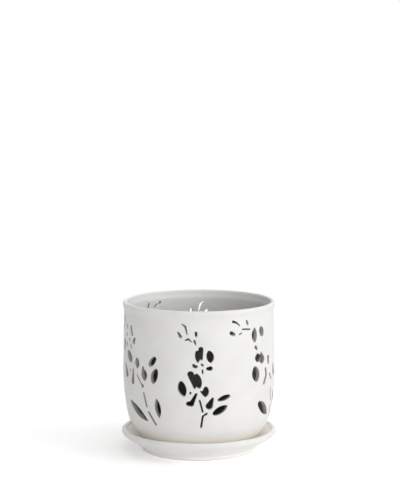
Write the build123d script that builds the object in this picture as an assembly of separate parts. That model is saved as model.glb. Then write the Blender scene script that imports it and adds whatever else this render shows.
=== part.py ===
from build123d import *
import math
import os

# An orchid pot whose wall is cut through with flower sprays, the saucer that it stands in and the
# plain grow pot inside it. Millimetres, +Z up. The origin is at the centre of the saucer's foot, on
# the surface that it stands on, and the middle spray faces -Y.

# Saucer
saucer_radius = 77.5
saucer_height = 21.5
saucer_wall = 4.6
saucer_floor = 4.5
saucer_bend = 5.0
saucer_foot_radius = 56.4
saucer_foot_width = 6.0
saucer_foot_height = 3.7
saucer_foot_recess = 2.0
saucer_foot_tuck = 0.9
saucer_well_round = 6.0
saucer_rim_round = 1.5
saucer_foot_round = 0.8

# Pot
belly_radius = 75.8
belly_height = 78.0
neck_inset = 0.9
lip_flare = 1.3
lip_height = 9.2
haunch_inset = 3.5
haunch_height = 33.5
base_radius = 43.0
pot_height = 143.7
pot_wall = 4.6
pot_floor = 6.0
pot_foot_width = 7.0
pot_foot_recess = 1.8
drain_diameter = 14.0
weep_notch_width = 9.0
weep_notch_count = 3

# Slots, drawn on the wall rolled out flat at these sizes and scaled with the wall
drawn_radius = 75.8
drawn_neck_height = 134.5
leaf_tip_round = 0.5
twig_bend = 1.6
twig_bend_share = 0.95
slot_sets = 2
slot_set_step = 189.0

# Grow pot
grow_wall = 1.3
grow_floor = 1.6
grow_drop = 27.0
grow_rim_gap = 10.0
grow_rim_width = 3.2
grow_rim_height = 2.6
grow_collar_height = 14.0
grow_collar_step = 1.4
grow_base_gap = 3.0
grow_foot_width = 4.0
grow_foot_height = 3.0
grow_drain_diameter = 12.0
grow_slot_count = 8
grow_slot_width = 7.0
grow_slot_height = 11.0

# Levels and radii that follow from them
pot_seat = saucer_foot_recess + saucer_floor
neck_height = pot_height - lip_height
neck_radius = belly_radius - neck_inset
lip_radius = neck_radius + lip_flare
lip_level = pot_height - pot_wall / 2
haunch_radius = belly_radius - haunch_inset
girth_scale = belly_radius / drawn_radius
height_scale = neck_height / drawn_neck_height
width_scale = min(girth_scale, height_scale)
same_point = 1e-4


def saucer():
    """The dish that the pot stands in: a foot ring, a flared wall and a round rim."""
    rim_half = saucer_wall / 2
    rim_centre = Vector(saucer_radius - rim_half, saucer_height - rim_half)
    bend_centre = Vector(saucer_radius - saucer_bend, rim_centre.Y)
    foot_inside = saucer_foot_radius - saucer_foot_width

    # The flare leaves the foot in a straight line that just touches the bend below the rim.
    flare_start = Vector(saucer_foot_radius + saucer_foot_tuck, saucer_foot_height)
    to_bend = bend_centre - flare_start
    steepness = math.atan2(to_bend.Y, to_bend.X) - math.asin(saucer_bend / to_bend.length)
    slope = Vector(math.cos(steepness), math.sin(steepness))
    inward = Vector(-slope.Y, slope.X)
    flare_end = bend_centre - inward * saucer_bend

    # The inside runs parallel to the flare, from the floor to where it meets the round of the rim.
    inner_start = flare_start + inward * saucer_wall
    well_edge = inner_start + slope * ((pot_seat - inner_start.Y) / slope.Y)
    rise = (inner_start - rim_centre).dot(inward)
    rim_inside = rim_centre + inward * rise - slope * math.sqrt(rim_half**2 - rise**2)

    section = make_face(
        [
            Polyline(
                (0, saucer_foot_recess),
                (foot_inside - saucer_foot_recess, saucer_foot_recess),
                (foot_inside, 0),
                (saucer_foot_radius, 0),
                (saucer_foot_radius, saucer_foot_height),
                flare_start,
                flare_end,
            ),
            TangentArc(flare_end, rim_centre + Vector(rim_half, 0), tangent=slope),
            ThreePointArc(
                rim_centre + Vector(rim_half, 0), rim_centre + Vector(0, rim_half), rim_inside
            ),
            Polyline(rim_inside, well_edge, (0, pot_seat), (0, saucer_foot_recess)),
        ]
    )
    section = fillet(corners(section, well_edge), saucer_well_round)
    section = fillet(corners(section, rim_inside), saucer_rim_round)
    section = fillet(corners(section, (foot_inside, 0), (saucer_foot_radius, 0)), saucer_foot_round)
    return revolve(Plane.XZ * section, Axis.Z)


def corners(section, *points):
    """The corners of a flat section that lie at the given points."""
    wanted = [Vector(point) for point in points]
    return [v for v in section.vertices() if min((v.center() - w).length for w in wanted) < same_point]


def wall_side(inset, level):
    """One side of the pot's wall, from a level near the floor up to the lip, moved in by inset."""
    belly = Vector(belly_radius, belly_height)
    neck = Vector(neck_radius, neck_height)
    haunch = Vector(haunch_radius, haunch_height)

    # The outside gives the directions and the centre that both sides of the wall share.
    climb = (neck - belly).normalized()
    haunch_heading = TangentArc(belly, haunch, tangent=climb * -1) % 1
    flank = TangentArc(haunch, (base_radius, 0), tangent=haunch_heading)
    centre = flank.arc_center
    reach = flank.radius - inset

    belly -= Vector(climb.Y, -climb.X) * inset
    neck -= Vector(climb.Y, -climb.X) * inset
    haunch -= Vector(-haunch_heading.Y, haunch_heading.X) * inset
    foot = Vector(centre.X + math.sqrt(reach**2 - (centre.Y - level) ** 2), level)
    lip = Vector(lip_radius - inset, lip_level)
    edges = [
        TangentArc(haunch, foot, tangent=haunch_heading),
        TangentArc(belly, haunch, tangent=climb * -1),
        Line(belly, neck),
        Spline(neck, lip, tangents=[climb, (0, 1)]),
    ]
    return edges, foot, lip


def pot_body():
    """The pot before its slots are cut: a turned wall with a rolled lip, a floor and a foot ring."""
    outside, outer_foot, outer_lip = wall_side(0, 0)
    inside, inner_foot, inner_lip = wall_side(pot_wall, pot_floor)
    ring_inside = base_radius - pot_foot_width
    crest = Vector((outer_lip.X + inner_lip.X) / 2, pot_height)
    section = make_face(
        outside
        + inside
        + [
            ThreePointArc(outer_lip, crest, inner_lip),
            Polyline(
                inner_foot,
                (0, pot_floor),
                (0, pot_foot_recess),
                (ring_inside - pot_foot_recess, pot_foot_recess),
                (ring_inside, 0),
                outer_foot,
            ),
        ]
    )
    body = revolve(Plane.XZ * section, Axis.Z)
    body -= Cylinder(drain_diameter / 2, pot_floor, align=(Align.CENTER, Align.CENTER, Align.MIN))
    notch = Box(
        base_radius * 2,
        weep_notch_width,
        pot_foot_recess,
        align=(Align.MIN, Align.CENTER, Align.MIN),
    )
    return body - [Rot(0, 0, 360 / weep_notch_count * k) * notch for k in range(weep_notch_count)]


def on_wall(point):
    """A drawn point, u round the wall and v above the pot's base, on the wall as it now is."""
    return Vector(point[0] * girth_scale, point[1] * height_scale)


def petal(tip, tip_width, crown, crown_width):
    """A hole with two round ends of their own widths: a petal or a bud."""
    start, end = on_wall(tip), on_wall(crown)
    along = (end - start).normalized()
    small, large = tip_width * width_scale / 2, crown_width * width_scale / 2
    near, far = start + along * small, end - along * large
    lean = math.degrees(math.acos((small - large) / (far - near).length))
    left, right = along.rotate(Axis.Z, lean), along.rotate(Axis.Z, -lean)
    return make_face(
        [
            Line(near + left * small, far + left * large),
            ThreePointArc(far + left * large, end, far + right * large),
            Line(far + right * large, near + right * small),
            ThreePointArc(near + right * small, start, near + left * small),
        ]
    )


def slit(start, end, width):
    """A straight slit with round ends."""
    return petal(start, width, end, width)


def twig(start, bend, end, width):
    """A slit with one bend in it, which is tighter where a run is too short for the full bend."""
    corner, wide = on_wall(bend), width * width_scale
    first, last = corner - on_wall(start), on_wall(end) - corner
    first -= first.normalized() * wide / 2
    last -= last.normalized() * wide / 2
    room = min(first.length, last.length) * twig_bend_share
    half_turn = math.radians(first.get_angle(last)) / 2
    radius = min(twig_bend, room / math.tan(half_turn))
    line = FilletPolyline(corner - first, corner, corner + last, radius=radius)
    outline = SlotArc(line, wide).face()
    return outline if outline.normal_at().Z > 0 else -outline


def leaf(start, end, left, right, start_round=leaf_tip_round, end_round=leaf_tip_round):
    """A hole between two arcs, each with its own rise from the line they share, with rounded points."""
    first, last = on_wall(start), on_wall(end)
    lens = make_face(
        [
            SagittaArc(first, last, left * width_scale),
            SagittaArc(last, first, right * width_scale),
        ]
    )
    lens = fillet(corners(lens, first), start_round * width_scale)
    return fillet(corners(lens, last), end_round * width_scale)


def twin(one, other):
    """Two petals run together into one hole."""
    return one + other


def middle_spray():
    """The spray that faces the front, from its top twig down to the foot of its stem."""
    return [
        twin(
            petal((-16.9, 131.4), 1.2, (-12.7, 128.2), 1.9),
            petal((-11.5, 121.0), 1.0, (-13.5, 129.2), 1.9),
        ),
        petal((-21.0, 123.6), 1.4, (-17.4, 117.8), 3.2),
        twin(
            petal((-13.9, 115.3), 1.0, (-9.6, 117.1), 1.9),
            petal((-7.2, 114.0), 1.0, (-11.0, 117.3), 1.9),
        ),
        petal((-2.8, 118.8), 2.2, (-3.0, 124.2), 2.4),
        petal((-3.0, 111.0), 1.0, (-4.7, 116.0), 1.9),
        twin(
            leaf((-1.2, 94.0), (-2.3, 106.8), 2.1, 3.2, 0.5, 1.7),
            petal((2.6, 96.6), 2.0, (1.7, 109.5), 4.6),
        ),
        leaf((11.5, 93.5), (9.4, 106.0), 3.2, 4.1, 1.2, 1.6),
        twig((-5.6, 92.9), (-4.3, 89.0), (-1.6, 91.2), 2.5),
        slit((2.0, 93.0), (4.3, 90.8), 1.8),
        petal((7.0, 88.0), 3.2, (13.2, 88.6), 4.2),
        slit((3.3, 87.6), (3.6, 83.2), 1.4),
        twin(
            petal((-4.0, 68.6), 1.8, (-8.9, 85.7), 6.4),
            leaf((-2.2, 84.0), (1.2, 68.9), 3.0, 5.4, 1.6, 1.4),
        ),
        leaf((-17.6, 76.6), (-14.0, 60.6), 3.5, 4.9, 2.2, 1.6),
        slit((-8.7, 63.2), (-8.0, 65.6), 1.9),
        twin(
            petal((-2.3, 64.4), 2.2, (-8.6, 51.3), 4.6),
            petal((-12.7, 53.6), 4.2, (-4.9, 54.2), 5.2),
        ),
        twin(
            leaf((6.5, 71.4), (5.8, 60.2), 3.5, 2.6, 1.4, 1.8),
            petal((1.2, 66.4), 1.2, (7.6, 62.6), 4.6),
        ),
        slit((0.5, 57.9), (3.8, 45.1), 1.6),
        petal((13.8, 59.8), 2.4, (8.7, 48.5), 6.8),
        leaf((17.4, 56.4), (32.4, 61.4), 2.7, 2.5, 1.3, 1.5),
        leaf((12.8, 42.2), (28.8, 51.4), 3.6, 3.6, 2.2, 1.2),
        twig((8.4, 44.6), (3.8, 41.4), (2.2, 29.6), 1.8),
    ]


def right_spray():
    """The spray round to the right, which leans back over the front as it climbs."""
    return [
        twin(
            petal((38.8, 131.2), 1.4, (33.3, 132.8), 2.7),
            petal((41.9, 127.8), 1.0, (37.4, 132.0), 1.6),
        ),
        slit((49.8, 132.9), (51.8, 127.8), 1.9),
        slit((44.4, 124.3), (54.6, 123.6), 1.5),
        petal((36.6, 119.4), 3.2, (30.8, 122.4), 3.8),
        slit((40.8, 119.4), (44.4, 121.2), 1.2),
        leaf((60.8, 124.6), (61.2, 109.4), 3.1, 4.1),
        leaf((70.0, 124.8), (73.6, 114.0), 3.6, 3.6, 2.4, 2.4),
        petal((64.4, 102.0), 2.0, (61.2, 106.4), 3.2),
        twin(
            leaf((64.6, 98.4), (64.8, 89.8), 4.6, 3.3, 1.6, 1.4),
            petal((70.2, 99.4), 1.4, (73.2, 87.8), 8.4),
        ),
        petal((84.7, 85.2), 3.2, (84.7, 94.2), 4.2),
        leaf((60.8, 86.6), (63.9, 70.4), 5.0, 5.4, 3.0, 3.0),
        twig((78.6, 82.6), (80.0, 75.2), (75.0, 66.2), 2.9),
        slit((87.2, 75.8), (92.8, 68.4), 1.8),
        leaf((66.0, 51.0), (89.0, 34.0), 4.6, 4.6, 2.6),
        petal((99.0, 84.0), 2.2, (101.4, 71.0), 6.6),
        slit((91.0, 61.0), (95.0, 47.0), 1.6),
        slit((96.6, 43.0), (101.6, 29.6), 1.8),
        leaf((104.0, 57.0), (108.0, 38.0), 3.3, 3.3),
    ]


def left_spray():
    """The spray round to the left, which leans away to the left as it climbs."""
    return [
        slit((-92.5, 123.6), (-92.5, 119.2), 2.2),
        slit((-83.2, 123.8), (-79.4, 113.8), 3.4),
        slit((-92.3, 115.2), (-92.2, 111.8), 2.0),
        slit((-87.0, 110.8), (-84.0, 108.0), 1.4),
        petal((-74.0, 112.8), 2.0, (-77.8, 106.6), 4.8),
        slit((-91.7, 106.4), (-91.5, 102.0), 2.0),
        slit((-83.2, 105.6), (-81.2, 100.8), 1.6),
        leaf((-90.2, 98.0), (-79.2, 88.0), 4.2, 4.6, 2.4, 2.0),
        leaf((-71.0, 93.8), (-69.3, 83.1), 3.6, 3.2, 1.0, 1.8),
        leaf((-53.6, 86.6), (-43.6, 98.2), 3.1, 3.1, 2.2, 2.2),
        twin(
            petal((-60.9, 86.2), 2.6, (-61.2, 76.0), 4.4),
            leaf((-58.2, 83.0), (-59.0, 72.2), 3.2, 3.6, 0.8, 1.8),
        ),
        leaf((-42.8, 86.6), (-47.6, 69.8), 2.9, 5.0, 2.2, 2.4),
        petal((-96.2, 85.0), 1.6, (-90.0, 71.4), 7.0),
        petal((-76.6, 82.6), 1.6, (-78.4, 66.0), 5.4),
        slit((-82.7, 81.0), (-82.7, 77.8), 1.6),
        twin(
            slit((-70.2, 76.8), (-61.4, 66.6), 1.4),
            petal((-62.0, 64.8), 1.0, (-61.1, 68.6), 3.0),
        ),
        slit((-60.5, 61.0), (-57.0, 46.2), 1.8),
        leaf((-86.0, 49.4), (-58.0, 32.0), 4.0, 4.8),
        leaf((-44.0, 56.8), (-42.0, 37.0), 3.4, 3.4),
        slit((-55.4, 42.4), (-47.2, 29.0), 2.0),
        twig((-103.0, 131.0), (-99.8, 128.2), (-98.2, 121.4), 1.6),
        petal((-107.6, 123.4), 1.2, (-104.0, 117.8), 2.8),
        petal((-100.0, 96.0), 3.2, (-101.0, 107.6), 6.2),
    ]


def slot_cutters():
    """A cutter for each slot, straight through the wall, in as many sets round the pot as there are."""
    start = base_radius
    reach = belly_radius + lip_flare - start + pot_wall
    cutters = []
    for outline in middle_spray() + right_spray() + left_spray():
        middle = outline.bounding_box().center().X
        block = Pos(-middle, 0, start) * extrude(outline, reach)
        for k in range(slot_sets):
            turn = middle / belly_radius + math.radians(slot_set_step) * k
            along = (math.cos(turn), math.sin(turn), 0)
            outward = (math.sin(turn), -math.cos(turn), 0)
            cutters.append(Plane((0, 0, 0), x_dir=along, z_dir=outward) * block)
    return cutters


def pot():
    """The pot with its slots, standing on the saucer's floor."""
    return Pos(0, 0, pot_seat) * (pot_body() - slot_cutters())


def grow_pot():
    """The plain thin pot inside: a tapered wall with a collar and a rim, on a notched foot ring."""
    _, floor_edge, _ = wall_side(pot_wall, pot_floor)
    base = floor_edge.X - grow_base_gap
    height = pot_height - grow_drop - pot_floor
    rim = neck_radius - pot_wall - grow_rim_gap
    top = rim - grow_rim_width
    collar_level = height - grow_collar_height
    collar = top - grow_collar_step
    ring_inside = base - grow_foot_width
    floor_level = grow_foot_height + grow_floor
    section = make_face(
        Polyline(
            (0, grow_foot_height),
            (ring_inside, grow_foot_height),
            (ring_inside, 0),
            (base, 0),
            (collar, collar_level),
            (top, collar_level + grow_collar_step),
            (top, height - grow_rim_height),
            (rim, height - grow_rim_height),
            (rim, height),
            (top - grow_wall, height),
            (top - grow_wall, collar_level + grow_collar_step),
            (collar - grow_wall, collar_level),
            (base - grow_wall, floor_level),
            (0, floor_level),
            close=True,
        )
    )
    body = revolve(Plane.XZ * section, Axis.Z)
    body -= Cylinder(
        grow_drain_diameter / 2, floor_level, align=(Align.CENTER, Align.CENTER, Align.MIN)
    )
    slot_radius = grow_slot_width / 2
    opening = Rectangle(
        grow_slot_width, grow_slot_height - slot_radius, align=(Align.CENTER, Align.MIN)
    ) + Pos(0, grow_slot_height - slot_radius) * Circle(slot_radius)
    cutter = Plane.XZ * extrude(opening, rim)
    cutter = cutter - Cylinder(ring_inside - grow_foot_width, height * 2)
    turns = range(grow_slot_count)
    body -= [Rot(0, 0, 360 / grow_slot_count * (k + 0.5)) * cutter for k in turns]
    return Pos(0, 0, pot_seat + pot_floor) * body


os.makedirs("parts", exist_ok=True)
for name, piece in (("saucer", saucer()), ("pot", pot()), ("grow_pot", grow_pot())):
    export_step(piece, f"parts/{name}.step")
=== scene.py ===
"""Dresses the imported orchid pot: a satin white pot with cut-out flower sprays, its saucer and its grow pot.

Sizes in the classes are in millimetres. Meshes are in metres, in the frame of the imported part: +Z up along
the pot's axis, with the side that the picture shows towards -Y.
"""

import logging
import math
from dataclasses import dataclass, field
from enum import Enum
from typing import Any, Sequence

import bmesh
import bpy
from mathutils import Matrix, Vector
from mathutils.geometry import delaunay_2d_cdt
from mathutils.kdtree import KDTree


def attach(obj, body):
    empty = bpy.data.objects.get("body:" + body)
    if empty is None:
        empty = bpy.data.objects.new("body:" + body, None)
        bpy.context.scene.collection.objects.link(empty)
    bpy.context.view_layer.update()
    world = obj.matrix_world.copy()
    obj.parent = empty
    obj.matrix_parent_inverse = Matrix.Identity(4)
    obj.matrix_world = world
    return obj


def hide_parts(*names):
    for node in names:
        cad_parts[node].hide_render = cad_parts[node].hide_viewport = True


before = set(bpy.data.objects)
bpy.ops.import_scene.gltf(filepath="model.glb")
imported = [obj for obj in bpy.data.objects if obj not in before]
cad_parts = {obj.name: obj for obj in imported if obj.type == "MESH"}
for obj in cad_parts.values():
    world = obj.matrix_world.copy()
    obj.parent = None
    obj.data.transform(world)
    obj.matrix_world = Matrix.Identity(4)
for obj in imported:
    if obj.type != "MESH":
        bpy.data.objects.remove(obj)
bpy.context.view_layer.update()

# Metres in a millimetre, and how close two points are, in millimetres, to become one.
MM = 0.001
MERGE = 0.002
# Most of a noise texture's values lie between these two.
NOISE_LOW = 0.3
NOISE_HIGH = 0.7
# A turn that is smaller than this, in radians, counts as this much.
LEAST_TURN = 0.01
# The least cosine at a mitre, so that a sharp corner moves at most twice as far as its sides.
LEAST_MITRE = 0.5
# How close a run comes to its full length to count as whole.
NEARLY = 0.99
# How close two points of a flat face are, in millimetres, for its triangles to share them.
FLAT_MERGE = 1e-6
log = logging.getLogger("orchid_pot")


class Body(Enum):
    """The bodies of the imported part, each with one node of the same name."""

    SAUCER = "saucer"
    POT = "pot"
    GROW_POT = "grow_pot"


class Slot(Enum):
    """The record's material slots."""

    GLAZE = "white_glaze"
    PLASTIC = "dark_plastic"


def linear(hex_colour: str) -> tuple[float, float, float, float]:
    """Turns an sRGB hex colour into linear light.

    Args:
        hex_colour: A colour such as "#EFEDE8".

    Returns:
        Red, green, blue and an alpha of 1.
    """
    shares = [int(hex_colour[k : k + 2], 16) / 255 for k in (1, 3, 5)]
    lit = [c / 12.92 if c <= 0.04045 else ((c + 0.055) / 1.055) ** 2.4 for c in shares]
    return lit[0], lit[1], lit[2], 1.0


def per_mm(size: float) -> float:
    """The texture scale, in metres of Object coordinates, whose features are about this many mm wide."""
    return 1 / (size * MM)


def add_node(
    tree: bpy.types.NodeTree, kind: str, inputs: dict[str | int, Any], **settings: Any
) -> bpy.types.Node:
    """Adds a node with its settings, its input values and its links.

    Args:
        tree: The node tree that takes the node.
        kind: The node's type name.
        inputs: A value, or a socket to link from, for each input by its name or number.
        **settings: Properties of the node itself.

    Returns:
        The new node.
    """
    node = tree.nodes.new(kind)
    for name, value in settings.items():
        setattr(node, name, value)
    for key, value in inputs.items():
        if isinstance(value, bpy.types.NodeSocket):
            tree.links.new(value, node.inputs[key])
        else:
            node.inputs[key].default_value = value
    return node


def new_material(name: str) -> tuple[bpy.types.Material, bpy.types.NodeTree]:
    """Starts a material with an empty node tree.

    Args:
        name: The material's name.

    Returns:
        The material and its tree.
    """
    material = bpy.data.materials.new(name)
    material.use_nodes = True
    material.node_tree.nodes.clear()
    return material, material.node_tree


@dataclass(frozen=True)
class SatinGlaze:
    """Slip-cast earthenware under a satin opaque white glaze.

    The eye sees an even warm white with broad soft highlights, a faint orange peel, a slow unevenness from
    the plaster mould and a bare clay foot ring that was wiped before the firing. The white is painted
    warmer towards the foot, as painted warm light bounced between pot and saucer. The hole linings are
    painted greyer: partly thinner glaze drawn back from the cut edges, partly painted shade inside the holes.
    """

    name: str
    foot_level: float
    white: str = "#F6F5F3"
    cloud: str = "#F1F0EC"
    # Painted warm bounce light: the white turns to this colour towards the foot.
    bounce_warmth: str = "#FCF6F0"
    # Greyer on the hole linings: partly thinner glaze, partly painted shade inside the holes.
    thin_and_shaded: str = "#B8B5AE"
    clay: str = "#D9CDB8"
    ior: float = 1.5
    roughness: float = 0.5
    roughness_spread: float = 0.07
    clay_roughness: float = 0.85
    cloud_size: float = 36.0
    cloud_low: float = 0.38
    cloud_high: float = 0.66
    peel_size: float = 1.8
    peel_depth: float = 0.012
    mould_size: float = 17.0
    mould_depth: float = 0.09
    wiped_height: float = 0.45
    wiped_fade: float = 0.35
    # How far above the foot the painted warm bounce light fades out.
    bounce_warmth_height: float = 26.0

    def make(self) -> bpy.types.Material:
        """Builds the material.

        Returns:
            The material, which reads the attribute of thinner glaze and painted lining shade where a piece
            has it.
        """
        material, tree = new_material(self.name)
        place = add_node(tree, "ShaderNodeTexCoord", {}).outputs["Object"]
        level = add_node(tree, "ShaderNodeSeparateXYZ", {0: place}).outputs["Z"]
        clouds = add_node(
            tree,
            "ShaderNodeTexNoise",
            {"Vector": place, "Scale": per_mm(self.cloud_size), "Detail": 3.0, "Roughness": 0.5},
        ).outputs["Fac"]
        wiped = (self.foot_level + self.wiped_height) * MM
        covered = add_node(
            tree,
            "ShaderNodeMapRange",
            {"Value": level, "From Min": wiped, "From Max": wiped + self.wiped_fade * MM},
            interpolation_type="SMOOTHSTEP",
        ).outputs["Result"]
        glazed = self.glaze_colour(tree, clouds, level)
        colour = add_node(
            tree, "ShaderNodeMix", {0: covered, 6: linear(self.clay), 7: glazed}, data_type="RGBA"
        ).outputs[2]
        sheen = add_node(
            tree,
            "ShaderNodeMapRange",
            {
                "Value": clouds,
                "From Min": NOISE_LOW,
                "From Max": NOISE_HIGH,
                "To Min": self.roughness - self.roughness_spread,
                "To Max": self.roughness + self.roughness_spread,
            },
        ).outputs["Result"]
        roughness = add_node(
            tree, "ShaderNodeMix", {0: covered, 2: self.clay_roughness, 3: sheen}
        ).outputs[0]
        skin = self.skin(tree, place)
        shader = add_node(
            tree,
            "ShaderNodeBsdfPrincipled",
            {"Base Color": colour, "Roughness": roughness, "IOR": self.ior, "Normal": skin},
        ).outputs["BSDF"]
        add_node(tree, "ShaderNodeOutputMaterial", {"Surface": shader})
        return material

    def glaze_colour(
        self, tree: bpy.types.NodeTree, clouds: bpy.types.NodeSocket, level: bpy.types.NodeSocket
    ) -> bpy.types.NodeSocket:
        """Mixes the glaze's colour: a cloudy white, painted warmer towards the foot as warm bounce light,
        and greyer on the hole linings, as thinner glaze with painted shade.

        Args:
            tree: The material's tree.
            clouds: The noise that the clouds follow.
            level: The height, in metres.

        Returns:
            The socket with the colour.
        """
        cloudy = add_node(
            tree,
            "ShaderNodeMapRange",
            {"Value": clouds, "From Min": self.cloud_low, "From Max": self.cloud_high},
        ).outputs["Result"]
        body = add_node(
            tree,
            "ShaderNodeMix",
            {0: cloudy, 6: linear(self.white), 7: linear(self.cloud)},
            data_type="RGBA",
        ).outputs[2]
        # Painted warm bounce light between pot and saucer: warmer at the foot, fading out higher up.
        foot, fades = self.foot_level * MM, (self.foot_level + self.bounce_warmth_height) * MM
        bounce_share = add_node(
            tree,
            "ShaderNodeMapRange",
            {"Value": level, "From Min": foot, "From Max": fades, "To Min": 1.0, "To Max": 0.0},
            interpolation_type="SMOOTHSTEP",
        ).outputs["Result"]
        warmed = add_node(
            tree, "ShaderNodeMix", {0: bounce_share, 6: body, 7: linear(self.bounce_warmth)}, data_type="RGBA"
        ).outputs[2]
        # Greyer on the hole linings: partly thinner glaze, partly painted shade inside the holes.
        thin_and_shaded = add_node(
            tree, "ShaderNodeAttribute", {}, attribute_name="thin_glaze_and_shade"
        ).outputs["Fac"]
        return add_node(
            tree, "ShaderNodeMix", {0: thin_and_shaded, 6: warmed, 7: linear(self.thin_and_shaded)}, data_type="RGBA"
        ).outputs[2]

    def skin(self, tree: bpy.types.NodeTree, place: bpy.types.NodeSocket) -> bpy.types.NodeSocket:
        """Makes the fine relief: the unevenness from the mould, with the orange peel over it.

        Args:
            tree: The material's tree.
            place: The Object coordinates.

        Returns:
            The socket with the normal.
        """
        mould = add_node(
            tree,
            "ShaderNodeTexNoise",
            {"Vector": place, "Scale": per_mm(self.mould_size), "Detail": 1.0},
        ).outputs["Fac"]
        uneven = add_node(
            tree,
            "ShaderNodeBump",
            {"Height": mould, "Strength": 1.0, "Distance": self.mould_depth * MM},
        ).outputs["Normal"]
        peel = add_node(
            tree,
            "ShaderNodeTexNoise",
            {"Vector": place, "Scale": per_mm(self.peel_size), "Detail": 2.0},
        ).outputs["Fac"]
        return add_node(
            tree,
            "ShaderNodeBump",
            {"Height": peel, "Strength": 1.0, "Distance": self.peel_depth * MM, "Normal": uneven},
        ).outputs["Normal"]


@dataclass(frozen=True)
class MouldedPolypropylene:
    """Injection-moulded polypropylene, as in a nursery pot: near black, low in gloss, finely spark-eroded.

    The spark-eroded grain is really about 0.2 mm, which is too fine to show, so it is drawn coarser.
    """

    name: str = "moulded_black_polypropylene"
    dark: str = "#464540"
    worn: str = "#56544C"
    ior: float = 1.49
    roughness: float = 0.46
    roughness_spread: float = 0.08
    patch_size: float = 24.0
    rub_low: float = 0.45
    rub_high: float = 0.75
    grain_size: float = 0.9
    grain_depth: float = 0.02

    def make(self) -> bpy.types.Material:
        """Builds the material.

        Returns:
            The material.
        """
        material, tree = new_material(self.name)
        place = add_node(tree, "ShaderNodeTexCoord", {}).outputs["Object"]
        patches = add_node(
            tree,
            "ShaderNodeTexNoise",
            {"Vector": place, "Scale": per_mm(self.patch_size), "Detail": 5.0, "Roughness": 0.6},
        ).outputs["Fac"]
        rubbed = add_node(
            tree,
            "ShaderNodeMapRange",
            {"Value": patches, "From Min": self.rub_low, "From Max": self.rub_high},
        ).outputs["Result"]
        colour = add_node(
            tree,
            "ShaderNodeMix",
            {0: rubbed, 6: linear(self.dark), 7: linear(self.worn)},
            data_type="RGBA",
        ).outputs[2]
        roughness = add_node(
            tree,
            "ShaderNodeMapRange",
            {
                "Value": patches,
                "From Min": NOISE_LOW,
                "From Max": NOISE_HIGH,
                "To Min": self.roughness - self.roughness_spread,
                "To Max": self.roughness + self.roughness_spread,
            },
        ).outputs["Result"]
        grain = add_node(
            tree,
            "ShaderNodeTexNoise",
            {"Vector": place, "Scale": per_mm(self.grain_size), "Detail": 2.0},
        ).outputs["Fac"]
        skin = add_node(
            tree,
            "ShaderNodeBump",
            {"Height": grain, "Strength": 1.0, "Distance": self.grain_depth * MM},
        ).outputs["Normal"]
        shader = add_node(
            tree,
            "ShaderNodeBsdfPrincipled",
            {"Base Color": colour, "Roughness": roughness, "IOR": self.ior, "Normal": skin},
        ).outputs["BSDF"]
        add_node(tree, "ShaderNodeOutputMaterial", {"Surface": shader})
        return material


def only(*pieces: bpy.types.Object) -> None:
    """Selects these pieces alone and makes the first one active."""
    bpy.ops.object.select_all(action="DESELECT")
    for piece in pieces:
        piece.select_set(True)
    bpy.context.view_layer.objects.active = pieces[0]


def spin(name: str, profile: Sequence[Vector], columns: int) -> bpy.types.Object:
    """Turns a profile about the pot's axis, as on a wheel.

    Args:
        name: The new object's name.
        profile: Points (radius, level) in millimetres, in order.
        columns: Steps in the full turn.

    Returns:
        The turned object, with its seam closed.
    """
    mesh = bpy.data.meshes.new(name)
    points = [(p.x * MM, 0.0, p.y * MM) for p in profile]
    mesh.from_pydata(points, [(k, k + 1) for k in range(len(points) - 1)], [])
    piece = bpy.data.objects.new(name, mesh)
    bpy.context.scene.collection.objects.link(piece)
    only(piece)
    bpy.ops.object.mode_set(mode="EDIT")
    bpy.ops.mesh.select_all(action="SELECT")
    bpy.ops.mesh.spin(steps=columns, angle=2 * math.pi, center=(0, 0, 0), axis=(0, 0, 1))
    bpy.ops.mesh.select_all(action="SELECT")
    bpy.ops.mesh.remove_doubles(threshold=MERGE * MM)
    bpy.ops.object.mode_set(mode="OBJECT")
    return piece


def stand_for(piece: bpy.types.Object, body: Body, slot: Slot) -> None:
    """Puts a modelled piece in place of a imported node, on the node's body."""
    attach(piece, body.value)
    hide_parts(body.value)


def arc_points(centre: Vector, start: Vector, end: Vector, steps: int) -> list[Vector]:
    """Points on the shorter arc about a centre.

    Args:
        centre: The arc's centre.
        start: The first point.
        end: The last point.
        steps: Stretches between the points.

    Returns:
        The points, with both ends.
    """
    first, last = start - centre, end - centre
    turn = math.atan2(first.x * last.y - first.y * last.x, first.dot(last))
    points = []
    for k in range(steps + 1):
        angle = turn * k / steps
        across = Vector((-first.y, first.x))
        points.append(centre + first * math.cos(angle) + across * math.sin(angle))
    return points


def rounded(corners: Sequence[tuple[float, float, float]], steps: int = 5) -> list[Vector]:
    """An open outline whose corners are rounded.

    Args:
        corners: The radius, the level and the rounding of each corner. The two ends have no rounding.
        steps: Stretches in each rounding.

    Returns:
        The outline's points.
    """
    points = [Vector(corner[:2]) for corner in corners]
    outline = [points[0]]
    for before, here, after, corner in zip(points, points[1:], points[2:], corners[1:]):
        if corner[2] == 0:
            outline.append(here)
            continue
        back, ahead = (before - here).normalized(), (after - here).normalized()
        half = back.angle(ahead) / 2
        reach = corner[2] / math.tan(half)
        centre = here + (back + ahead).normalized() * corner[2] / math.sin(half)
        outline += arc_points(centre, here + back * reach, here + ahead * reach, steps)
    return outline + [points[-1]]


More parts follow.
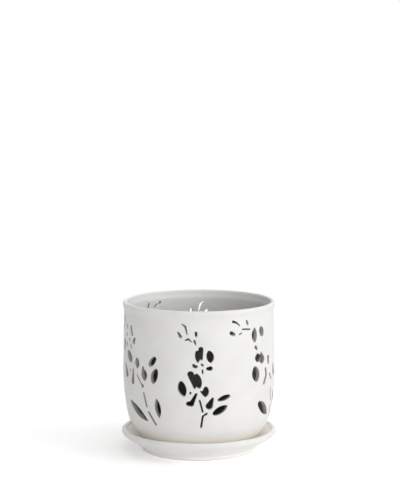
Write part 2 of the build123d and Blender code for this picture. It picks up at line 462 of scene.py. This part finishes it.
def eased(start: Vector, heading: Vector, end: Vector, arrival: Vector, steps: int) -> list[Vector]:
    """A smooth curve that leaves one point and comes to another along given directions.

    Args:
        start: The first point.
        heading: The direction there, of length 1.
        end: The last point.
        arrival: The direction at the last point, of length 1.
        steps: Stretches in the curve.

    Returns:
        The curve's points, with both ends. Where the turn is even, it is close to an arc.
    """
    turn = max(heading.angle(arrival), LEAST_TURN)
    handle = (end - start).length * 2 / 3 * math.tan(turn / 4) / math.sin(turn / 2)
    controls = [start, start + heading * handle, end - arrival * handle, end]
    curve = []
    for k in range(steps + 1):
        t = k / steps
        weights = ((1 - t) ** 3, 3 * t * (1 - t) ** 2, 3 * t * t * (1 - t), t**3)
        curve.append(sum((p * w for p, w in zip(controls, weights)), Vector((0, 0))))
    return curve


@dataclass
class CutOut:
    """A hole through the pot's wall, drawn flat as it is seen along its own axis.

    Attributes:
        bearing: The axis's angle about the pot, in radians.
        outline: Points (across, level), anticlockwise seen from outside.
    """

    bearing: float
    outline: list[Vector]

    def spread(self, reach: float) -> list[Vector]:
        """The outline moved out by a reach, into the wall.

        Args:
            reach: How far each point moves, in millimetres.

        Returns:
            As many points as the outline has.
        """
        moved = []
        count = len(self.outline)
        for k, point in enumerate(self.outline):
            before, after = self.outline[k - 1], self.outline[(k + 1) % count]
            ways = [(point - before).normalized(), (after - point).normalized()]
            along = (ways[0] + ways[1]).normalized()
            stretch = 1 / max(along.dot(ways[0]), LEAST_MITRE)
            moved.append(point + Vector((along.y, -along.x)) * reach * stretch)
        return moved


@dataclass
class PotWall:
    """The pot's wall in section, with levels above the pot's own base.

    A straight upper wall leans in from the belly to the neck, and two arcs that run on from it come down to
    the foot. The inside runs parallel to it.
    """

    belly: Vector = field(default_factory=lambda: Vector((75.8, 78.0)))
    neck: Vector = field(default_factory=lambda: Vector((74.9, 134.5)))
    haunch: Vector = field(default_factory=lambda: Vector((72.3, 33.5)))
    base: Vector = field(default_factory=lambda: Vector((43.0, 0.0)))
    lip_radius: float = 76.2
    height: float = 143.7
    thickness: float = 4.6
    seat: float = 6.5

    def __post_init__(self) -> None:
        """Works out the climb of the upper wall and the two arcs below it."""
        self.climb = (self.neck - self.belly).normalized()
        self.upper_arc, heading = self.tangent_arc(self.belly, -self.climb, self.haunch)
        self.lower_arc, _ = self.tangent_arc(self.haunch, heading, self.base)

    @staticmethod
    def tangent_arc(start: Vector, heading: Vector, end: Vector) -> tuple[tuple[Vector, float], Vector]:
        """The arc that leaves a point along a heading and ends at another point.

        Args:
            start: The first point.
            heading: The direction there, of length 1.
            end: The last point.

        Returns:
            The centre and radius, and the direction at the end.
        """
        chord = end - start
        side = Vector((-heading.y, heading.x))
        reach = chord.length_squared / (2 * chord.dot(side))
        centre = start + side * reach
        spoke = end - centre
        return (centre, abs(reach)), Vector((-spoke.y, spoke.x)) / reach

    def radius(self, level: float, inset: float) -> float:
        """The radius of one face of the wall.

        Args:
            level: The height above the pot's base, up to the neck.
            inset: 0 on the outside and the wall's thickness on the inside.

        Returns:
            The radius in millimetres.
        """
        if level >= self.belly.y:
            lean = self.climb.x / self.climb.y
            return self.belly.x + (level - self.belly.y) * lean - inset / self.climb.y
        centre, reach = self.upper_arc if level >= self.haunch.y else self.lower_arc
        return centre.x + math.sqrt((reach - inset) ** 2 - (level - centre.y) ** 2)

    def point(self, bearing: float, across: float, level: float, inset: float, sink: float) -> Vector:
        """A point on one face of the wall, or sunk from it along a hole's axis.

        Args:
            bearing: The hole's bearing, in radians.
            across: The distance to the side of the hole's axis.
            level: The height above the pot's base.
            inset: Which face, as in radius.
            sink: How far the point moves in towards the pot's axis.

        Returns:
            The point in metres, in the frame.
        """
        out = math.sqrt(self.radius(level, inset) ** 2 - across**2) - sink
        east, north = math.cos(bearing), math.sin(bearing)
        place = (out * east - across * north, out * north + across * east, level + self.seat)
        return Vector(place) * MM


@dataclass
class Pot:
    """The cast pot: a turned body with the sprays cut through its wall and every cut edge softened.

    Levels are above the pot's own base. How far a face looks outwards is a cosine: it is under side_facing
    on the side of a hole and over wall_facing on the wall.
    """

    wall: PotWall = field(default_factory=PotWall)
    columns: int = 192
    band_low: float = 26.5
    band_high: float = 134.5
    band_step: float = 5.0
    band_skip: int = 2
    lip_steps: int = 8
    roll_steps: int = 6
    flank_steps: int = 12
    rise_steps: int = 8
    floor_level: float = 6.0
    foot_width: float = 7.0
    foot_recess: float = 1.8
    recess_round: float = 1.0
    foot_round: float = 0.7
    drain_radius: float = 7.0
    drain_round: float = 1.2
    floor_round: float = 4.0
    notch_width: float = 9.0
    notch_count: int = 3
    side_facing: float = 0.4
    wall_facing: float = 0.6
    edge_round: float = 0.35
    round_steps: int = 4
    outline_run: float = 2.4
    outline_turn: float = math.radians(15)
    outline_least: float = 0.3
    tongue_width: float = 1.2
    tongue_parts: int = 8
    tongue_turn: float = math.radians(25)
    tongue_reach: int = 2
    tongue_steps: int = 5
    clear_of_edge: float = 2.0
    smooth_angle: float = math.radians(40)

    def build(self) -> bpy.types.Object:
        """Models the pot.

        Returns:
            The pot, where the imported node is.
        """
        cut_outs = self.read_cut_outs()
        top = spin("cast_pot", self.top_profile(), self.columns)
        bottom = spin("pot_bottom", self.bottom_profile(), self.columns)
        self.cut_weep_notches(bottom)
        band = self.slotted_band(cut_outs)
        only(top, bottom, band)
        bpy.ops.object.join()
        bpy.ops.object.mode_set(mode="EDIT")
        bpy.ops.mesh.select_all(action="SELECT")
        bpy.ops.mesh.remove_doubles(threshold=MERGE * MM)
        bpy.ops.mesh.normals_make_consistent(inside=False)
        bpy.ops.object.mode_set(mode="OBJECT")
        bpy.ops.object.shade_smooth_by_angle(angle=self.smooth_angle)
        log.info("%s: %d holes, %d faces", top.name, len(cut_outs), len(top.data.polygons))
        return top

    def dress(self, pot: bpy.types.Object) -> None:
        """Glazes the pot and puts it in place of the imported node."""
        glaze = SatinGlaze("satin_glazed_earthenware_pot", foot_level=self.wall.seat)
        pot.data.materials.clear()
        pot.data.materials.append(glaze.make())
        stand_for(pot, Body.POT, Slot.GLAZE)

    def top_profile(self) -> list[Vector]:
        """The neck and the rolled lip, from the outer face over the crest to the inner face."""
        wall = self.wall
        half = wall.thickness / 2
        lip_level = wall.height - half
        outer = self.lip_curve(wall.radius(wall.neck.y, 0), wall.lip_radius, lip_level)
        inner_lip = wall.lip_radius - wall.thickness
        inner = self.lip_curve(wall.radius(wall.neck.y, wall.thickness), inner_lip, lip_level)
        crest_centre = Vector((wall.lip_radius - half, lip_level))
        crest = crest_centre + Vector((0, half))
        outer_roll = arc_points(crest_centre, outer[-1], crest, self.roll_steps)
        inner_roll = arc_points(crest_centre, crest, inner[-1], self.roll_steps)
        points = outer + outer_roll[1:] + inner_roll[1:] + inner[::-1][1:]
        return [p + Vector((0, wall.seat)) for p in points]

    def lip_curve(self, neck_radius: float, lip_radius: float, lip_level: float) -> list[Vector]:
        """The easing curve from the neck out to the side of the lip.

        Args:
            neck_radius: The radius at the neck.
            lip_radius: The radius at the lip.
            lip_level: The level of the lip's side.

        Returns:
            The curve's points, with both ends.
        """
        neck, lip = Vector((neck_radius, self.wall.neck.y)), Vector((lip_radius, lip_level))
        return eased(neck, self.wall.climb, lip, Vector((0, 1)), self.lip_steps)

    def bottom_profile(self) -> list[Vector]:
        """The flank below the sprays, the foot ring, the drain hole and the floor, up to the inner face."""
        wall = self.wall
        levels = [self.band_low * (1 - k / self.flank_steps) for k in range(self.flank_steps)]
        flank = [(wall.radius(level, 0), level, 0.0) for level in levels]
        ring_inside = wall.base.x - self.foot_width
        under = [
            (wall.base.x, 0.0, self.foot_round),
            (ring_inside, 0.0, self.foot_round),
            (ring_inside - self.foot_recess, self.foot_recess, self.recess_round),
            (self.drain_radius, self.foot_recess, self.drain_round),
            (self.drain_radius, self.floor_level, self.drain_round),
            (wall.radius(self.floor_level, wall.thickness), self.floor_level, self.floor_round),
        ]
        # The first step up from the floor is left to the rounding there.
        rise = (self.band_low - self.floor_level) / self.rise_steps
        inner_levels = [self.floor_level + rise * k for k in range(2, self.rise_steps + 1)]
        inside = [(wall.radius(level, wall.thickness), level, 0.0) for level in inner_levels]
        return [p + Vector((0, wall.seat)) for p in rounded(flank + under + inside)]

    def cut_weep_notches(self, bottom: bpy.types.Object) -> None:
        """Lifts the foot ring to the recess's level where water runs out under it."""
        roof = (self.wall.seat + self.foot_recess) * MM
        half = self.notch_width / 2 * MM
        for vertex in bottom.data.vertices:
            for k in range(self.notch_count):
                turn = 2 * math.pi * k / self.notch_count
                along = vertex.co.x * math.cos(turn) + vertex.co.y * math.sin(turn)
                across = vertex.co.y * math.cos(turn) - vertex.co.x * math.sin(turn)
                if along > 0 and abs(across) < half:
                    vertex.co.z = max(vertex.co.z, roof)

    def read_cut_outs(self) -> list[CutOut]:
        """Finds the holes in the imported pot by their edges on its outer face.

        Returns:
            One entry for each hole.
        """
        mesh = bmesh.new()
        mesh.from_mesh(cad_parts[Body.POT.value].data)
        bmesh.ops.remove_doubles(mesh, verts=mesh.verts, dist=MERGE * MM)
        steps: dict[bmesh.types.BMVert, list[bmesh.types.BMVert]] = {}
        for edge in mesh.edges:
            if self.is_hole_edge(edge):
                for here, there in (edge.verts, reversed(edge.verts)):
                    steps.setdefault(here, []).append(there)
        cut_outs = []
        while steps:
            here = next(iter(steps))
            loop = []
            while here in steps:
                loop.append(here.co / MM)
                ahead = steps.pop(here)
                here = next((there for there in ahead if there in steps), None)
            cut_outs.append(self.flat_cut_out(loop))
        mesh.free()
        return cut_outs

    def is_hole_edge(self, edge: bmesh.types.BMEdge) -> bool:
        """True for an edge between the wall's outer face and the side of a hole."""
        middle = (edge.verts[0].co + edge.verts[1].co) / (2 * MM)
        level = middle.z - self.wall.seat
        if not self.band_low < level < self.band_high:
            return False
        out = Vector((middle.x, middle.y, 0)).normalized()
        facing = sorted(face.normal.dot(out) for face in edge.link_faces)
        return facing[0] < self.side_facing and facing[-1] > self.wall_facing

    def flat_cut_out(self, loop: Sequence[Vector]) -> CutOut:
        """Draws a hole's edge flat and keeps the points that its shape needs.

        Args:
            loop: The edge's points in order, in millimetres.

        Returns:
            The hole.
        """
        middle = sum((Vector((p.x, p.y)).normalized() for p in loop), Vector((0, 0)))
        bearing = math.atan2(middle.y, middle.x)
        east, north = math.cos(bearing), math.sin(bearing)
        flat = [Vector((p.y * east - p.x * north, p.z - self.wall.seat)) for p in loop]
        area = sum(a.x * b.y - a.y * b.x for a, b in zip(flat, flat[1:] + flat[:1]))
        if area < 0:
            flat.reverse()
        return CutOut(bearing, self.thinned(self.blunted(flat)))

    @staticmethod
    def divided(outline: Sequence[Vector], run: float) -> list[Vector]:
        """A closed outline with points added, so that no two are farther apart than a run."""
        points = []
        for here, there in zip(outline, [*outline[1:], outline[0]]):
            parts = max(1, math.ceil((there - here).length / run))
            points += [here.lerp(there, k / parts) for k in range(parts)]
        return points

    def tongue_tips(self, points: Sequence[Vector]) -> list[Vector]:
        """Finds where an outline turns sharply round a tongue of wall.

        Args:
            points: A closed outline, anticlockwise, with evenly spaced points.

        Returns:
            The tip of each tongue, the sharpest first.
        """
        ways = [(there - here).normalized() for here, there in zip(points, [*points[1:], points[0]])]
        turns = [ways[k - 1].angle_signed(way) for k, way in enumerate(ways)]
        near = range(-self.tongue_reach, self.tongue_reach + 1)
        bends = [sum(turns[(k + step) % len(turns)] for step in near) for k in range(len(turns))]
        tips: list[Vector] = []
        for k in sorted(range(len(bends)), key=bends.__getitem__, reverse=True):
            if bends[k] < self.tongue_turn:
                break
            if all((points[k] - tip).length > self.tongue_width for tip in tips):
                tips.append(points[k])
        return tips

    def blunted(self, outline: Sequence[Vector]) -> list[Vector]:
        """Rounds the sharp tongues of wall that reach into a hole, between its petals or inside its bend.

        Args:
            outline: A closed outline, anticlockwise.

        Returns:
            The outline, in which each tongue ends where it is still as wide as tongue_width.
        """
        step = self.tongue_width / self.tongue_parts
        points: list[Vector] = []
        for point in self.divided(outline, step):
            if not points or (point - points[-1]).length > step / 2:
                points.append(point)
        for tip in self.tongue_tips(points):
            first = min(range(len(points)), key=lambda k: (points[k] - tip).length)
            points = points[first:] + points[:first]
            widths = ((points[k] - points[-k]).length for k in range(1, len(points)))
            back = next(k for k, width in enumerate(widths, 1) if width > self.tongue_width)
            heading = (points[-back] - points[-back - 1]).normalized()
            arrival = (points[back + 1] - points[back]).normalized()
            round_end = eased(points[-back], heading, points[back], arrival, self.tongue_steps)
            points = points[back:-back] + round_end[:-1]
        return points

    def thinned(self, fine: Sequence[Vector]) -> list[Vector]:
        """Thins a fine outline to the points that its bends need, with long runs divided.

        Args:
            fine: A closed outline.

        Returns:
            The points kept.
        """
        even = self.divided(fine, self.outline_run)
        kept = [even[0]]
        turned = run = 0.0
        for before, here, after in zip(even, even[1:], [*even[2:], even[0]]):
            turned += abs((here - before).angle_signed(after - here))
            run += (here - before).length
            if turned >= self.outline_turn or run >= self.outline_run * NEARLY:
                kept.append(here)
                turned = run = 0.0
        return kept if (kept[-1] - kept[0]).length > self.outline_least else kept[:-1]

    def slotted_band(self, cut_outs: Sequence[CutOut]) -> bpy.types.Object:
        """Both faces of the wall where the sprays are, with the linings of the holes between them.

        Args:
            cut_outs: The holes.

        Returns:
            The band, whose upper and lower edges meet the turned pieces.
        """
        band = bmesh.new()
        # Greyer lining colour: thinner glaze with painted shade inside the holes.
        thin_and_shaded = band.verts.layers.float.new("thin_glaze_and_shade")
        for inset in (0.0, self.wall.thickness):
            self.face_with_holes(band, cut_outs, inset)
        for cut_out in cut_outs:
            self.lining(band, cut_out, thin_and_shaded)
        mesh = bpy.data.meshes.new("pot_band")
        band.to_mesh(mesh)
        band.free()
        piece = bpy.data.objects.new("pot_band", mesh)
        bpy.context.scene.collection.objects.link(piece)
        return piece

    def seam(self, cut_outs: Sequence[CutOut]) -> float:
        """The angle of the column that is farthest round from every hole, where the wall is rolled out."""
        sides = []
        for cut_out in cut_outs:
            for point in cut_out.outline:
                sides.append(cut_out.bearing + point.x / self.wall.belly.x)
        angles = [2 * math.pi * k / self.columns for k in range(self.columns)]

        def room(angle: float) -> float:
            """How far round the nearest hole's edge is."""
            return min(abs(math.remainder(angle - side, 2 * math.pi)) for side in sides)

        return max(angles, key=room)

    def face_with_holes(self, band: bmesh.types.BMesh, cut_outs: Sequence[CutOut], inset: float) -> None:
        """Adds one face of the wall, rolled out flat, filled with triangles round the holes and rolled up.

        Args:
            band: The mesh that takes the face.
            cut_outs: The holes.
            inset: Which face, as in PotWall.radius.
        """
        wall = self.wall
        seam = self.seam(cut_outs)
        girth = 2 * math.pi * wall.belly.x
        flat: list[Vector] = []
        loops = []
        for cut_out in cut_outs:
            first = len(flat)
            for edge in cut_out.spread(self.edge_round):
                place = wall.point(cut_out.bearing, edge.x, edge.y, inset, 0.0)
                turn = (math.atan2(place.y, place.x) - seam) % (2 * math.pi)
                flat.append(Vector((turn * wall.belly.x, edge.y)))
            loops.append(list(range(first, len(flat))))
        edges = KDTree(len(flat))
        for k, point in enumerate(flat):
            edges.insert(point.to_3d(), k)
        edges.balance()
        rows = round((self.band_high - self.band_low) / self.band_step)
        for row in range(rows + 1):
            level = self.band_low + (self.band_high - self.band_low) * row / rows
            at_end = row in (0, rows)
            for column in range(0, self.columns + 1, 1 if at_end else self.band_skip):
                point = Vector((girth * column / self.columns, level))
                if at_end or edges.find(point.to_3d())[2] > self.clear_of_edge:
                    flat.append(point)
        places, _, triangles, _, _, holes = delaunay_2d_cdt(flat, [], loops, 0, FLAT_MERGE)
        kept = [t for t, inside in zip(triangles, holes) if not inside]
        used = sorted({k for triangle in kept for k in triangle})
        verts = {}
        for k in used:
            turn = places[k].x / wall.belly.x + seam
            verts[k] = band.verts.new(wall.point(turn, 0.0, places[k].y, inset, 0.0))
        for triangle in kept:
            band.faces.new([verts[k] for k in triangle])

    def lining(self, band: bmesh.types.BMesh, cut_out: CutOut, thin_and_shaded: Any) -> None:
        """Adds the side of a hole, from one rounded edge through the wall to the other.

        Args:
            band: The mesh that takes the lining.
            cut_out: The hole.
            thin_and_shaded: The layer that says how much thinner glaze and painted lining shade each point
                takes.
        """
        rings = []
        quarter = [math.pi / 2 * k / self.round_steps for k in range(self.round_steps + 1)]
        for inset, way, angles in ((0.0, 1, quarter), (self.wall.thickness, -1, quarter[::-1])):
            for angle in angles:
                sink = way * self.edge_round * (1 - math.cos(angle))
                ring = []
                for p in cut_out.spread(self.edge_round * (1 - math.sin(angle))):
                    vertex = band.verts.new(self.wall.point(cut_out.bearing, p.x, p.y, inset, sink))
                    # Thinner glaze and painted shade grow as the edge turns into the hole.
                    vertex[thin_and_shaded] = math.sin(angle)
                    ring.append(vertex)
                rings.append(ring)
        for one, other in zip(rings, rings[1:]):
            for k in range(len(one)):
                band.faces.new((one[k - 1], one[k], other[k], other[k - 1]))


@dataclass
class Saucer:
    """The cast saucer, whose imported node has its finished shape."""

    foot_level: float = 0.0

    def dress(self) -> None:
        """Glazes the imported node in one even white."""
        # No painted warm bounce light on the saucer: it stays one even white.
        glaze = SatinGlaze(
            "satin_glazed_earthenware_saucer", foot_level=self.foot_level, bounce_warmth=SatinGlaze.white
        )
        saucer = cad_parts[Body.SAUCER.value]
        saucer.data.materials[0] = glaze.make()
        log.info("%s: %d faces", saucer.name, len(saucer.data.polygons))


@dataclass
class GrowPot:
    """The thin moulded pot inside: a tapered wall with a collar and a rim, on a foot ring with drain slots.

    Levels are above its own foot.
    """

    seat: float = 12.5
    base_radius: float = 42.8
    foot_width: float = 4.0
    foot_height: float = 3.0
    floor: float = 1.6
    wall: float = 1.3
    height: float = 110.7
    rim_radius: float = 60.3
    rim_width: float = 3.2
    rim_height: float = 2.6
    collar_height: float = 14.0
    collar_step: float = 1.4
    drain_radius: float = 6.0
    slot_count: int = 8
    slot_width: float = 7.0
    slot_height: float = 11.0
    slot_reach: float = 30.0
    slot_steps: int = 13
    edge_round: float = 0.35
    edge_steps: int = 3
    edge_angle: float = math.radians(30)
    columns: int = 112
    smooth_angle: float = math.radians(40)

    def build(self) -> bpy.types.Object:
        """Models the grow pot.

        Returns:
            The grow pot, with its drain slots cut and its edges softened.
        """
        piece = spin("moulded_grow_pot", self.profile(), self.columns)
        only(piece)
        bpy.ops.object.mode_set(mode="EDIT")
        bpy.ops.mesh.select_all(action="SELECT")
        bpy.ops.mesh.normals_make_consistent(inside=False)
        bpy.ops.object.mode_set(mode="OBJECT")
        self.cut_slots(piece)
        self.soften(piece)
        bpy.ops.object.shade_smooth_by_angle(angle=self.smooth_angle)
        bpy.ops.object.modifier_add(type="WEIGHTED_NORMAL")
        piece.modifiers[-1].keep_sharp = True
        bpy.ops.object.modifier_apply(modifier=piece.modifiers[-1].name)
        log.info("%s: %d faces", piece.name, len(piece.data.polygons))
        return piece

    def profile(self) -> list[Vector]:
        """The wall, the rim, the floor and the foot in section, a closed line from the drain hole's side."""
        under, floor = self.foot_height, self.foot_height + self.floor
        ring_inside = self.base_radius - self.foot_width
        top = self.rim_radius - self.rim_width
        collar = top - self.collar_step
        collar_low = self.height - self.collar_height
        collar_high = collar_low + self.collar_step
        rim_low = self.height - self.rim_height
        corners = [
            (self.drain_radius, under),
            (ring_inside, under),
            (ring_inside, 0.0),
            (self.base_radius, 0.0),
            (collar, collar_low),
            (top, collar_high),
            (top, rim_low),
            (self.rim_radius, rim_low),
            (self.rim_radius, self.height),
            (top - self.wall, self.height),
            (top - self.wall, collar_high),
            (collar - self.wall, collar_low),
            (self.base_radius - self.wall, floor),
            (self.drain_radius, floor),
            (self.drain_radius, under),
        ]
        return [Vector((radius, level + self.seat)) for radius, level in corners]

    def cut_slots(self, piece: bpy.types.Object) -> None:
        """Cuts the drain slots through the foot ring and up into the wall.

        Args:
            piece: The turned pot.
        """
        half = self.slot_width / 2
        arch = self.slot_height - half
        # Each cutter starts well inside the foot ring and a little below it.
        start = self.base_radius - 2 * self.foot_width
        outline = [(half, -half), (-half, -half)]
        for k in range(self.slot_steps + 1):
            turn = math.pi * (1 - k / self.slot_steps)
            outline.append((half * math.cos(turn), arch + half * math.sin(turn)))
        mesh = bpy.data.meshes.new("drain_slots")
        points = [(start * MM, across * MM, (level + self.seat) * MM) for across, level in outline]
        mesh.from_pydata(points, [], [range(len(points))])
        cutter = bpy.data.objects.new("drain_slots", mesh)
        bpy.context.scene.collection.objects.link(cutter)

        only(cutter)
        step = 2 * math.pi / self.slot_count
        bpy.ops.object.mode_set(mode="EDIT")
        bpy.ops.mesh.select_all(action="SELECT")
        bpy.ops.mesh.extrude_region_move(TRANSFORM_OT_translate={"value": (self.slot_reach * MM, 0, 0)})
        bpy.ops.mesh.select_all(action="SELECT")
        bpy.ops.transform.rotate(value=step / 2, orient_axis="Z", center_override=(0, 0, 0))
        rest = 2 * math.pi - step
        copies = self.slot_count - 1
        bpy.ops.mesh.spin(steps=copies, dupli=True, angle=rest, center=(0, 0, 0), axis=(0, 0, 1))
        bpy.ops.mesh.select_all(action="SELECT")
        bpy.ops.mesh.normals_make_consistent(inside=False)
        bpy.ops.object.mode_set(mode="OBJECT")

        only(piece)
        bpy.ops.object.modifier_add(type="BOOLEAN")
        cut = piece.modifiers[-1]
        cut.operation, cut.solver, cut.object = "DIFFERENCE", "EXACT", cutter
        bpy.ops.object.modifier_apply(modifier=cut.name)
        bpy.data.objects.remove(cutter)

    def soften(self, piece: bpy.types.Object) -> None:
        """Rounds every sharp edge, as a mould leaves it.

        Args:
            piece: The pot with its slots.
        """
        only(piece)
        bpy.ops.object.mode_set(mode="EDIT")
        bpy.ops.mesh.select_mode(type="EDGE")
        bpy.ops.mesh.select_all(action="SELECT")
        bpy.ops.mesh.remove_doubles(threshold=MERGE * MM)
        bpy.ops.mesh.select_all(action="DESELECT")
        bpy.ops.mesh.edges_select_sharp(sharpness=self.edge_angle)
        bpy.ops.mesh.bevel(
            offset=self.edge_round * MM, segments=self.edge_steps, affect="EDGES", clamp_overlap=True
        )
        bpy.ops.object.mode_set(mode="OBJECT")

    def dress(self, grow_pot: bpy.types.Object) -> None:
        """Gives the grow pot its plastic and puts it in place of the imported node."""
        grow_pot.data.materials.append(MouldedPolypropylene().make())
        stand_for(grow_pot, Body.GROW_POT, Slot.PLASTIC)


@dataclass(frozen=True)
class SoftLight:
    """A broad soft light, far enough away to be even over the whole floor.

    Attributes:
        name: The lamp's name.
        level: How brightly it lights a white surface that faces it, where 1 is white.
        bearing: Its angle about the pot's axis, in degrees from +X.
        rise: Its angle above the floor, in degrees.
        spread: How wide it looks from the pot, in degrees.
    """

    name: str
    level: float
    bearing: float
    rise: float
    spread: float

    def hang(self) -> None:
        """Adds the lamp, which shines towards the pot."""
        bearing, rise = math.radians(self.bearing), math.radians(self.rise)
        out = math.cos(rise)
        towards = Vector((out * math.cos(bearing), out * math.sin(bearing), math.sin(rise)))
        bpy.ops.object.light_add(type="SUN", location=towards)
        lamp = bpy.context.object
        lamp.name = self.name
        lamp.data.angle = math.radians(self.spread)
        lamp.data.energy = self.level * math.pi
        lamp.rotation_euler = towards.to_track_quat("Z", "Y").to_euler()


@dataclass
class Studio:
    """A white table that runs out of sight, with a softbox above, a low window and two large white cards.

    The window is in front, one card on the right and the other behind. The table glows a little.
    """

    floor_width: float = 12000.0
    floor_colour: str = "#F4F4F4"
    floor_glow: float = 0.035
    floor_gain: float = 1.65
    room: float = 0.23
    room_colour: str = "#FFFFFF"
    overhead: SoftLight = SoftLight("overhead_softbox", level=0.19, bearing=-40, rise=70, spread=50)
    window: SoftLight = SoftLight("wide_window", level=0.38, bearing=-85, rise=6, spread=50)
    card: SoftLight = SoftLight("white_card", level=0.35, bearing=-20, rise=12, spread=50)
    back: SoftLight = SoftLight("back_card", level=0.31, bearing=85, rise=35, spread=90)
    camera_place: tuple[float, float, float] = (1.0, -1700.0, 407.5)
    camera_dip: float = 0.1213
    picture_height: int = 500
    focal_pixels: float = 1723.0
    sensor: float = 36.0
    bounces: int = 12

    def build(self) -> None:
        """Sets up the floor, the light and the camera, with light enough between white walls."""
        bpy.context.scene.cycles.diffuse_bounces = self.bounces
        self.lay_floor()
        self.light()
        self.set_camera()
        bpy.context.scene.view_settings.view_transform = "Standard"

    def seen_directly(self, tree: bpy.types.NodeTree) -> bpy.types.NodeSocket:
        """A number that is 1 for what the camera, a reflection or a clear body shows, and 0 for light.

        Args:
            tree: The tree that takes the nodes.

        Returns:
            The socket with the number.
        """
        path = add_node(tree, "ShaderNodeLightPath", {})
        shown = path.outputs["Is Camera Ray"]
        for ray in ("Is Glossy Ray", "Is Transmission Ray"):
            shown = add_node(
                tree, "ShaderNodeMath", {0: shown, 1: path.outputs[ray]}, operation="MAXIMUM"
            ).outputs[0]
        return shown

    def lay_floor(self) -> None:
        """Lays the table, which glows a little, looks white in full light and takes the shadow."""
        bpy.ops.object.select_all(action="DESELECT")
        bpy.ops.mesh.primitive_plane_add(size=self.floor_width * MM, location=(0, 0, 0))
        floor = bpy.context.object
        floor.name = "floor"
        material, tree = new_material("opal_acrylic_light_table")
        seen = self.seen_directly(tree)
        paint = linear(self.floor_colour)
        whitened = (*[share * self.floor_gain for share in paint[:3]], 1.0)
        colour = add_node(
            tree, "ShaderNodeMix", {0: seen, 6: paint, 7: whitened}, data_type="RGBA"
        ).outputs[2]
        top = add_node(tree, "ShaderNodeBsdfDiffuse", {"Color": colour}).outputs["BSDF"]
        strength = add_node(tree, "ShaderNodeMix", {0: seen, 2: self.floor_glow, 3: 0.0}).outputs[0]
        glow = add_node(tree, "ShaderNodeEmission", {"Strength": strength}).outputs["Emission"]
        shown = add_node(tree, "ShaderNodeAddShader", {0: top, 1: glow}).outputs["Shader"]
        add_node(tree, "ShaderNodeOutputMaterial", {"Surface": shown})
        floor.data.materials.append(material)

    def light(self) -> None:
        """Sets the softbox, the window and both cards, and fills the room with soft white."""
        for lamp in (self.overhead, self.window, self.card, self.back):
            lamp.hang()

        world = bpy.data.worlds.new("white_room")
        bpy.context.scene.world = world
        world.use_nodes = True
        tree = world.node_tree
        tree.nodes.clear()
        strength = add_node(
            tree, "ShaderNodeMix", {0: self.seen_directly(tree), 2: self.room, 3: 1.0}
        ).outputs[0]
        room = add_node(
            tree, "ShaderNodeBackground", {"Color": linear(self.room_colour), "Strength": strength}
        ).outputs["Background"]
        add_node(tree, "ShaderNodeOutputWorld", {"Surface": room})

    def set_camera(self) -> None:
        """Puts the camera where the picture was taken from, looking a little down."""
        tilt = (math.pi / 2 - self.camera_dip, 0.0, 0.0)
        bpy.ops.object.camera_add(location=Vector(self.camera_place) * MM, rotation=tilt)
        camera = bpy.context.object
        camera.name = "camera"
        camera.data.sensor_width = self.sensor
        camera.data.lens = self.focal_pixels * self.sensor / self.picture_height
        bpy.context.scene.camera = camera


def main() -> None:
    """Builds the studio and the three pieces."""
    logging.basicConfig(level=logging.INFO, format="%(message)s")
    Studio().build()

    pot = Pot()
    pot.dress(pot.build())
    Saucer().dress()
    grow_pot = GrowPot()
    grow_pot.dress(grow_pot.build())


if __name__ == "__main__":
    main()
